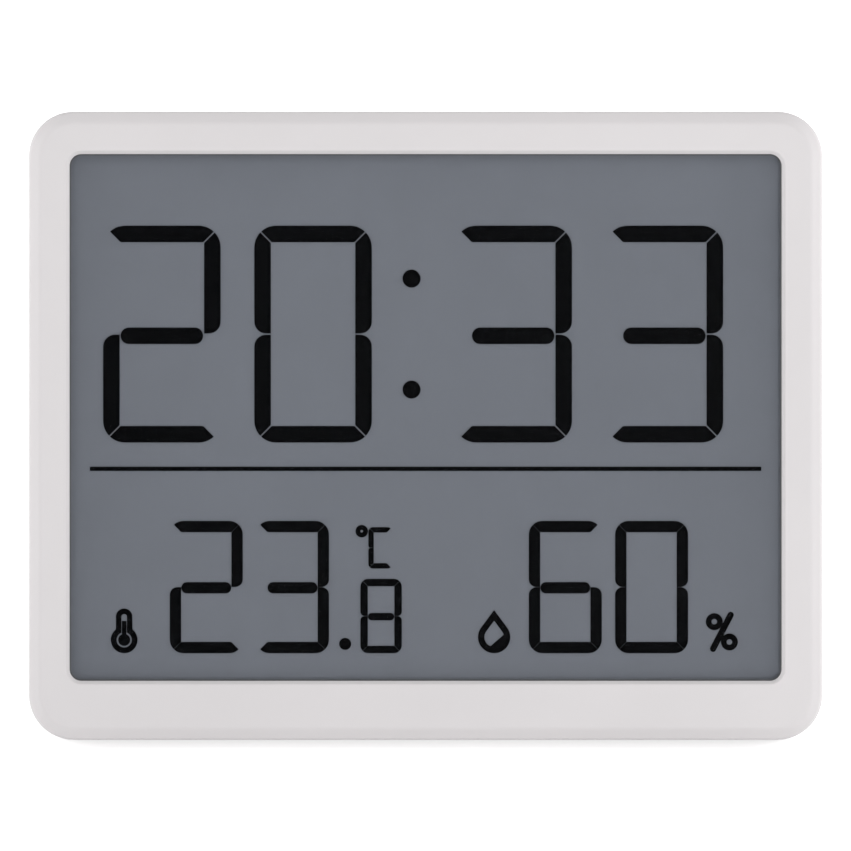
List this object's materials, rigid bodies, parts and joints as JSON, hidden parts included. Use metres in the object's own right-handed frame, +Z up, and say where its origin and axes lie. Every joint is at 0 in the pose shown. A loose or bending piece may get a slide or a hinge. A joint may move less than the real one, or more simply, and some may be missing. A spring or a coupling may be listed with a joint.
{
  "type": "thermometer hygrometer clock",
  "caption": "Slim white clock with a large grey liquid crystal display for time, temperature and humidity, leaning back on a folding rear leg.",
  "frame": {"origin": "on the table, in the middle of the outline seen from above, with the clock standing on its leg", "axes": "+X to the right seen from the front, +Y from the display to the rear, +Z up; the case leans back 15 degrees"},
  "size_m": [0.168, 0.0576, 0.1307],
  "materials": {
    "case_front": "white moulded plastic with a fine satin texture",
    "case_rear": "white moulded plastic with a fine spark texture",
    "gasket_foam": "dark grey foam",
    "polariser_film": "clear satin film",
    "cell_glass": "clear polished glass",
    "segment_ink": "dark liquid crystal segments",
    "reflector_film": "grey reflecting film",
    "tray_plastic": "moulded plastic",
    "screw_steel": "zinc plated",
    "strip_elastomer": "soft elastomer",
    "board_laminate": "green solder mask",
    "chip_resin": "black resin",
    "crystal_can": "drawn can",
    "sensor_body": "moulded",
    "passive_ceramic": "ceramic with tinned ends",
    "switch_body": "moulded",
    "battery_can": "plain printed sleeve",
    "contact_steel": "nickel plated spring sheet",
    "foot_rubber": "soft rubber",
    "key_plastic": "moulded grey plastic",
    "plunger_plastic": "moulded"
  },
  "bodies": {
    "case": {"front_frame": "case_front", "display_gasket": "gasket_foam", "lcd_front_polariser": "polariser_film", "lcd_front_glass": "cell_glass", "time_digits": "segment_ink", "divider_line": "segment_ink", "temperature_digits": "segment_ink", "humidity_digits": "segment_ink", "unit_signs": "segment_ink", "thermometer_icon": "segment_ink", "droplet_icon": "segment_ink", "lcd_rear_glass": "cell_glass", "lcd_reflector": "reflector_film", "display_tray": "tray_plastic", "tray_screws": "screw_steel", "contact_strip": "strip_elastomer", "main_board": "board_laminate", "board_screws": "screw_steel", "controller_chip": "chip_resin", "clock_crystal": "crystal_can", "air_sensor": "sensor_body", "board_passives": "passive_ceramic", "key_switches": "switch_body", "rear_cover": "case_rear", "case_screws": "screw_steel", "battery_1": "battery_can", "battery_2": "battery_can", "positive_contact": "contact_steel", "negative_contact": "contact_steel", "link_contact": "contact_steel"},
    "stand": {"stand_leg": "case_rear", "stand_foot_pad": "foot_rubber"},
    "door": {"battery_door": "case_rear"},
    "set_button": {"set_key": "key_plastic", "set_plunger": "plunger_plastic"},
    "up_button": {"up_key": "key_plastic", "up_plunger": "plunger_plastic"},
    "down_button": {"down_key": "key_plastic", "down_plunger": "plunger_plastic"}
  },
  "joints": [
    {"name": "stand_hinge", "type": "hinge", "parent": "case", "child": "stand", "pos_m": [0, 0.00682, 0.06531], "axis": [1, 0, 0], "range_deg": [-32, 0]},
    {"name": "door_slide", "type": "slide", "parent": "case", "child": "door", "axis": [-1, 0, 0], "range_m": [0, 0.034]},
    {"name": "set_key_press", "type": "slide", "parent": "case", "child": "set_button", "axis": [0, -0.9659, 0.2588], "range_m": [0, 0.0003], "stiffness_N_per_m": 400, "springref_m": -0.002},
    {"name": "up_key_press", "type": "slide", "parent": "case", "child": "up_button", "axis": [0, -0.9659, 0.2588], "range_m": [0, 0.0003], "stiffness_N_per_m": 400, "springref_m": -0.002},
    {"name": "down_key_press", "type": "slide", "parent": "case", "child": "down_button", "axis": [0, -0.9659, 0.2588], "range_m": [0, 0.0003], "stiffness_N_per_m": 400, "springref_m": -0.002}
  ]
}
